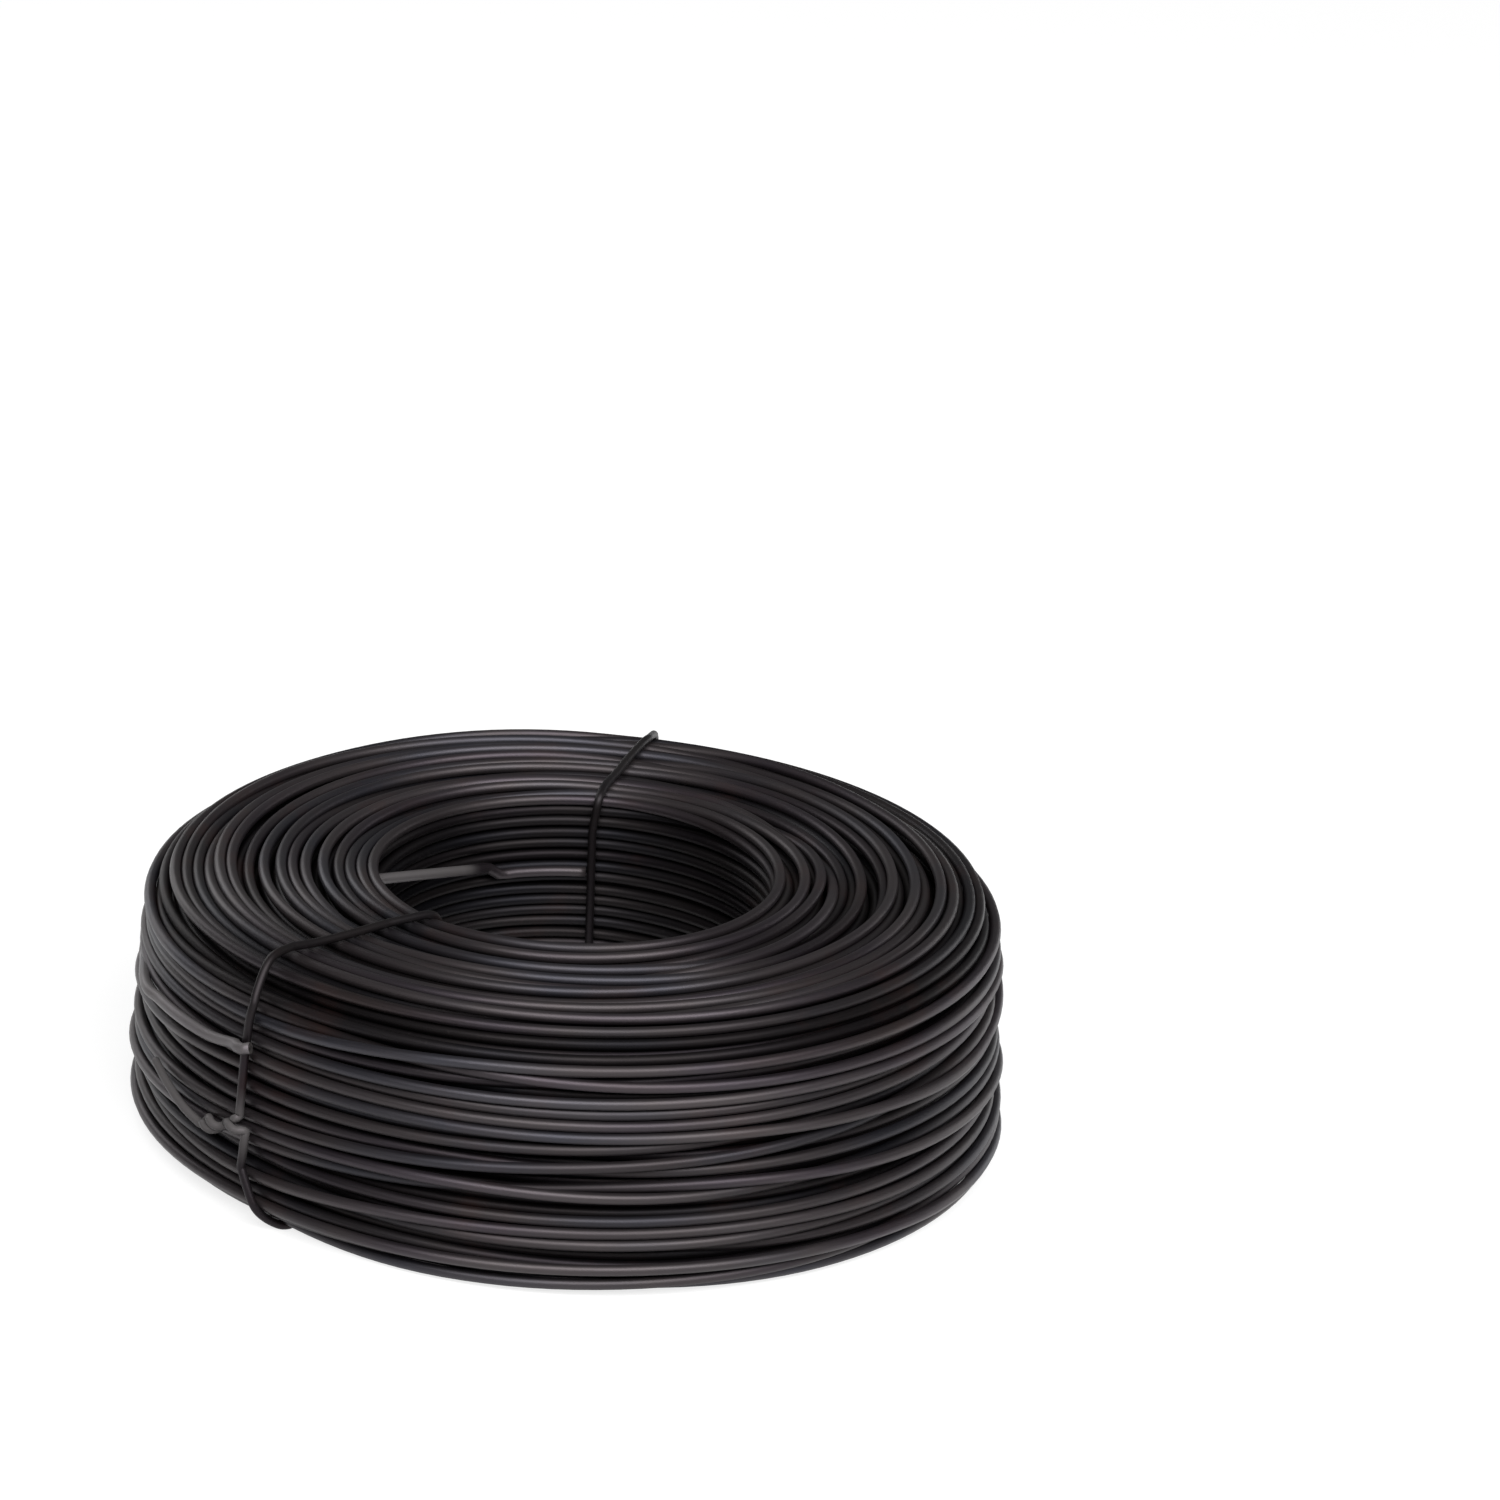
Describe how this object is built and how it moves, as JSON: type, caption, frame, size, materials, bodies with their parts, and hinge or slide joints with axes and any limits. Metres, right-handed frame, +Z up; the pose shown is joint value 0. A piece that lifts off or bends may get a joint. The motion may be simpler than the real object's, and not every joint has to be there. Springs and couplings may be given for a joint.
{
  "type": "coil of tie wire",
  "caption": "Round coil of dark annealed steel tie wire, wound in close turns round an open bore and held by twisted wire ties, lying flat.",
  "frame": {"origin": "on the coil's axis, at the level of the floor it lies on", "axes": "+Z up along the bore's axis, -Y towards the viewer in the picture, +X to the viewer's right"},
  "size_m": [0.1268, 0.1278, 0.0395],
  "materials": {
    "wire": "black annealed, satin oxide skin",
    "tie": "black annealed, satin oxide skin"
  },
  "bodies": {
    "root": {"wire_coil": "wire", "front_tie": "tie", "rear_tie": "tie"}
  },
  "joints": []
}
